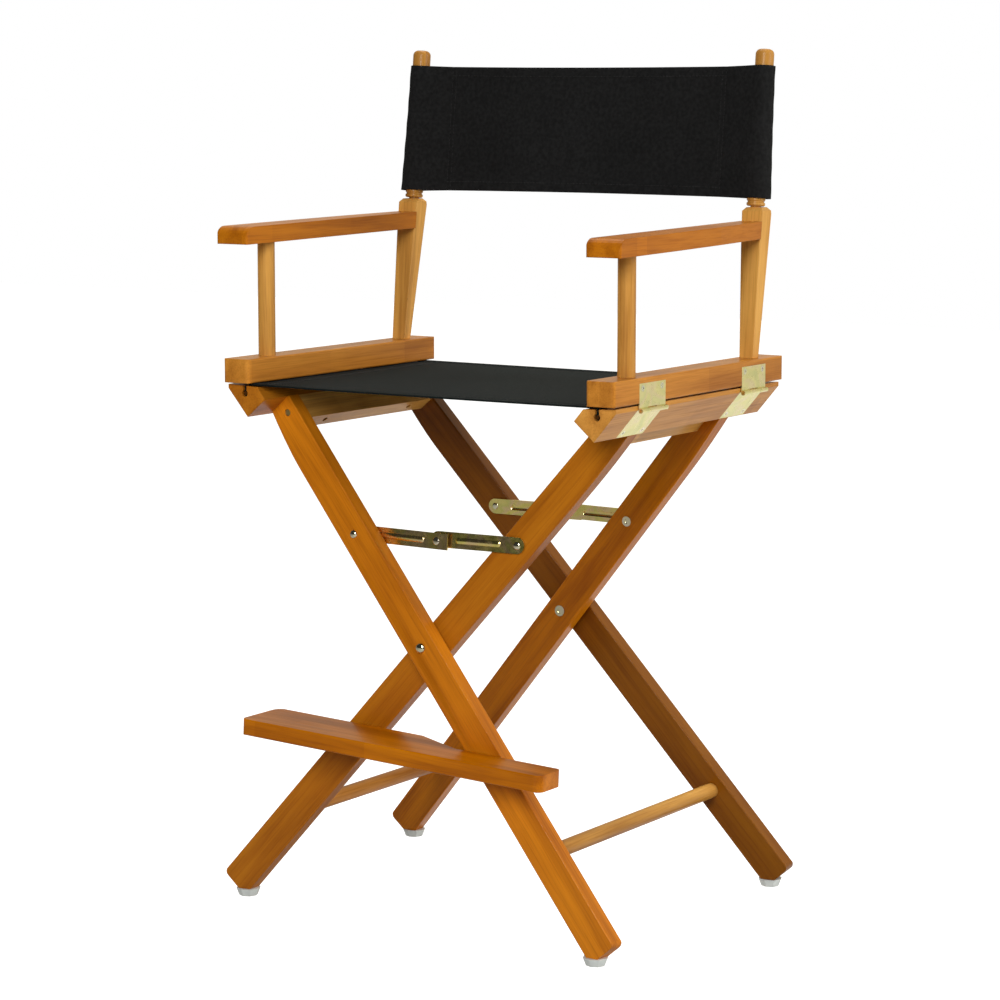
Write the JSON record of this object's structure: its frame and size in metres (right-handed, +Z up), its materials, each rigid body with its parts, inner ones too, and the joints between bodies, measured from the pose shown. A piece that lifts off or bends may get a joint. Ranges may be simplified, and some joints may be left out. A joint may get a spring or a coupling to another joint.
{
  "type": "folding director chair",
  "caption": "Tall folding director chair with crossed wooden legs, hinged arms, a black canvas seat and back, folding steel stays and a plug-in footrest",
  "frame": {"origin": "on the floor under the middle of the chair's box, footrest on", "axes": "+X to the chair's right as seen from the front, -Y is the front, +Z up"},
  "size_m": [0.5488, 0.4494, 0.9881],
  "materials": {
    "wood": "gloss varnish over glued-up wood",
    "turned_wood": "gloss varnish",
    "glide": "moulded",
    "zinc": "yellow zinc plate",
    "bright_steel": "bright zinc plate",
    "seat_cloth": "plain canvas",
    "back_cloth": "plain canvas"
  },
  "bodies": {
    "root": {"pivot_bolts": "bright_steel", "pivot_nuts": "bright_steel", "pivot_spacers": "zinc", "seat_canvas": "seat_cloth"},
    "outer_frame": {"leg_front_outer": "wood", "leg_back_outer": "wood", "seat_rail_left": "wood", "apron_left": "wood", "stretcher_outer": "turned_wood", "glides_outer": "glide", "canvas_rod_left": "turned_wood", "rail_fixings_left": "bright_steel", "hinge_lower_left": "zinc", "hinge_lower_screws_left": "bright_steel", "stay_pins_outer": "bright_steel"},
    "inner_frame": {"leg_front_inner": "wood", "leg_back_inner": "wood", "seat_rail_right": "wood", "apron_right": "wood", "stretcher_inner": "turned_wood", "glides_inner": "glide", "canvas_rod_right": "turned_wood", "rail_fixings_right": "bright_steel", "hinge_lower_right": "zinc", "hinge_lower_screws_right": "bright_steel", "stay_pins_inner": "bright_steel", "footrest_peg": "bright_steel"},
    "arm_left": {"arm_base_left": "wood", "arm_dowel_left": "turned_wood", "back_post_left": "wood", "back_stick_left": "turned_wood", "armrest_left": "wood", "hinge_upper_left": "zinc", "hinge_pins_left": "zinc", "hinge_upper_screws_left": "bright_steel", "back_canvas": "back_cloth"},
    "arm_right": {"arm_base_right": "wood", "arm_dowel_right": "turned_wood", "back_post_right": "wood", "back_stick_right": "turned_wood", "armrest_right": "wood", "hinge_upper_right": "zinc", "hinge_pins_right": "zinc", "hinge_upper_screws_right": "bright_steel"},
    "stay_fo": {"stay_front_outer": "zinc", "stay_rivet_heads_front": "bright_steel"},
    "stay_fi": {"stay_front_inner": "zinc", "stay_rivet_tails_front": "bright_steel"},
    "stay_bo": {"stay_back_outer": "zinc", "stay_rivet_heads_back": "bright_steel"},
    "stay_bi": {"stay_back_inner": "zinc", "stay_rivet_tails_back": "bright_steel"},
    "footrest": {"footrest_board": "wood", "footrest_pins": "bright_steel"}
  },
  "joints": [
    {"name": "fold", "type": "hinge", "parent": "root", "child": "outer_frame", "pos_m": [0, 0.00932, 0.32], "axis": [0, 1, 0], "range_deg": [0, 35.5], "deforming": ["seat_canvas", "back_canvas"]},
    {"name": "fold_inner", "type": "hinge", "parent": "root", "child": "inner_frame", "pos_m": [0, 0.00932, 0.32], "axis": [0, 1, 0], "range_deg": [-35.5, 0]},
    {"name": "arm_left_hinge", "type": "hinge", "parent": "outer_frame", "child": "arm_left", "pos_m": [-0.2635, 0.01407, 0.5999], "axis": [0, 1, 0], "range_deg": [-35.5, 0]},
    {"name": "arm_right_hinge", "type": "hinge", "parent": "inner_frame", "child": "arm_right", "pos_m": [0.2635, 0.01407, 0.5999], "axis": [0, 1, 0], "range_deg": [0, 35.5]},
    {"name": "stay_fo_turn", "type": "hinge", "parent": "outer_frame", "child": "stay_fo", "pos_m": [-0.10078, -0.12692, 0.438], "axis": [-0.0604, -0.9957, 0.0708], "range_deg": [0, 117.8]},
    {"name": "stay_fi_turn", "type": "hinge", "parent": "inner_frame", "child": "stay_fi", "pos_m": [0.10226, -0.12271, 0.43973], "axis": [0.0604, -0.9957, 0.0708], "range_deg": [-117.8, 0]},
    {"name": "stay_bo_turn", "type": "hinge", "parent": "outer_frame", "child": "stay_bo", "pos_m": [-0.10078, 0.14556, 0.438], "axis": [0.0604, -0.9957, -0.0708], "range_deg": [0, 117.8]},
    {"name": "stay_bi_turn", "type": "hinge", "parent": "inner_frame", "child": "stay_bi", "pos_m": [0.10226, 0.14136, 0.43973], "axis": [-0.0604, -0.9957, -0.0708], "range_deg": [-117.8, 0]},
    {"name": "footrest_pull", "type": "slide", "parent": "outer_frame", "child": "footrest", "axis": [0, -1, 0], "range_m": [0, 0.06]}
  ],
  "couplings": [
    {"joint": "fold_inner", "follows": "fold", "ratio": -1},
    {"joint": "arm_left_hinge", "follows": "fold", "ratio": -1},
    {"joint": "arm_right_hinge", "follows": "fold", "ratio": 1},
    {"joint": "stay_fo_turn", "follows": "fold", "ratio": 3.318},
    {"joint": "stay_fi_turn", "follows": "fold", "ratio": -3.318},
    {"joint": "stay_bo_turn", "follows": "fold", "ratio": 3.318},
    {"joint": "stay_bi_turn", "follows": "fold", "ratio": -3.318}
  ]
}
